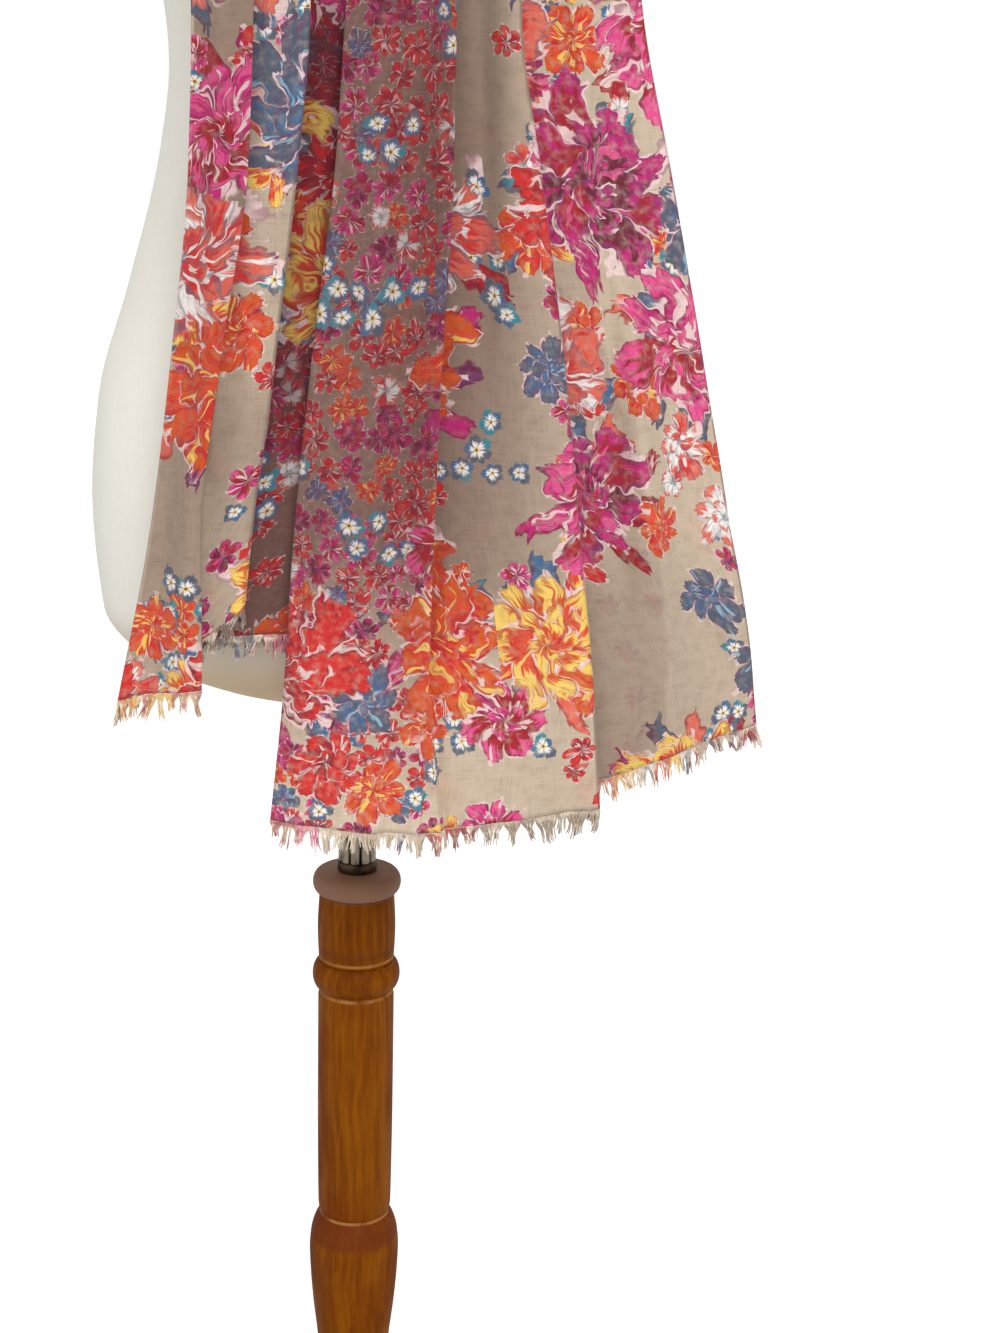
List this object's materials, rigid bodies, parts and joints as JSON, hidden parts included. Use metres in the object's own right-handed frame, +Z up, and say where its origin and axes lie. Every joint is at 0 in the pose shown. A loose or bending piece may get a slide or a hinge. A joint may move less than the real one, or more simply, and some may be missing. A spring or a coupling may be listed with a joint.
{
  "type": "printed fringed scarf on a limbless dress form stand",
  "caption": "Long folded scarf with short fringed ends, hung round the neck of a limbless dress form on a turned wooden post with a round base.",
  "frame": {"origin": "middle of the base's underside, on the floor and on the post's axis", "axes": "+Z up along the post, the form faces -Y, +X to the right of someone facing its front"},
  "size_m": [0.438, 0.38, 1.5363],
  "materials": {
    "printed_cloth": "thin slubbed plain weave with a painterly flower print on taupe",
    "fringe_yarn": "loose frayed warp ends",
    "cream_linen": "close matte plain weave",
    "stained_wood": "amber stain under satin varnish",
    "aged_metal": "dulled fluted tube",
    "dark_metal": "dark worn collar"
  },
  "bodies": {
    "root": {"scarf_neck": "printed_cloth", "scarf_tail_left": "printed_cloth", "scarf_tail_right": "printed_cloth", "fringe_left": "fringe_yarn", "fringe_right": "fringe_yarn", "torso": "cream_linen", "neck_cap": "stained_wood", "rod": "aged_metal", "ferrule": "dark_metal", "post": "stained_wood", "base": "stained_wood"}
  },
  "joints": []
}
